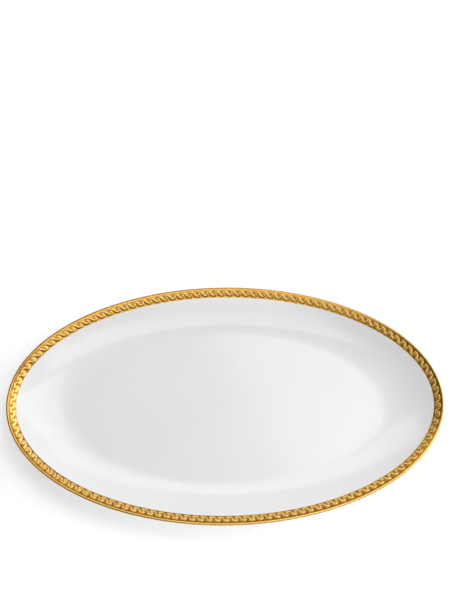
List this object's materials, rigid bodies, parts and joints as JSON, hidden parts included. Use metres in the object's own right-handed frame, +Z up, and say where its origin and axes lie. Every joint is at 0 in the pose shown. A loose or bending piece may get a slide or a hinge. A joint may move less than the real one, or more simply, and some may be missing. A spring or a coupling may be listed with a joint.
{
  "type": "china serving platter",
  "caption": "Long oval china serving platter: a flat floor, a curved wall, a sloped gilt border with a rolled lip, and a ground foot ring underneath. For serving food at table.",
  "frame": {"origin": "on the table, under the middle of the platter, at the foot ring's ground base", "axes": "+X along the platter's length, +Y across it, +Z up out of the well"},
  "size_m": [0.53, 0.2924, 0.0345],
  "materials": {
    "bisque": "matte",
    "foot": "matte",
    "glaze": "polished",
    "gilt": "polished",
    "gilt_relief": "satin"
  },
  "bodies": {
    "root": {"china_body": "bisque", "foot_ring": "foot", "glaze_face": "glaze", "glaze_back": "glaze", "glaze_foot_well": "glaze", "gilt_lip": "gilt", "gilt_scroll_band": "gilt_relief", "gilt_inner_line": "gilt"}
  },
  "joints": []
}
